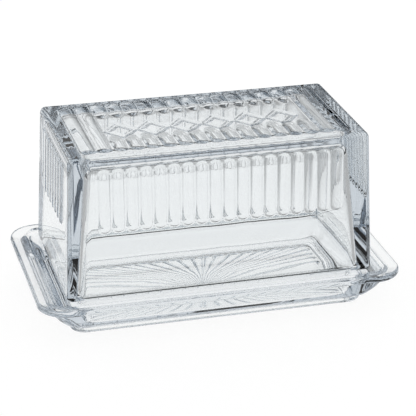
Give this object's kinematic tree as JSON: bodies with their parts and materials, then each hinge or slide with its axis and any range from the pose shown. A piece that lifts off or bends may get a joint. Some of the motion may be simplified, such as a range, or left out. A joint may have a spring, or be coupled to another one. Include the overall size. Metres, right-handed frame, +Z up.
{
  "type": "butter dish",
  "caption": "Rectangular pressed-glass butter dish: a tray with a raised rim, sunken well and foot ring, and a deep ribbed cover that lifts straight off.",
  "frame": {"origin": "middle of the underside of the foot ring, on the surface that the dish stands on", "axes": "+X along the dish's length, +Y across it, +Z up"},
  "size_m": [0.19, 0.11, 0.095],
  "materials": {
    "tray_glass": "clear fire-polished pressed glass",
    "cover_glass": "clear fire-polished pressed glass"
  },
  "bodies": {
    "tray": {"tray": "tray_glass"},
    "cover": {"cover": "cover_glass"}
  },
  "joints": [
    {"name": "cover_lift", "type": "slide", "parent": "tray", "child": "cover", "axis": [0, 0, 1], "range_m": [0, 0.12]}
  ]
}
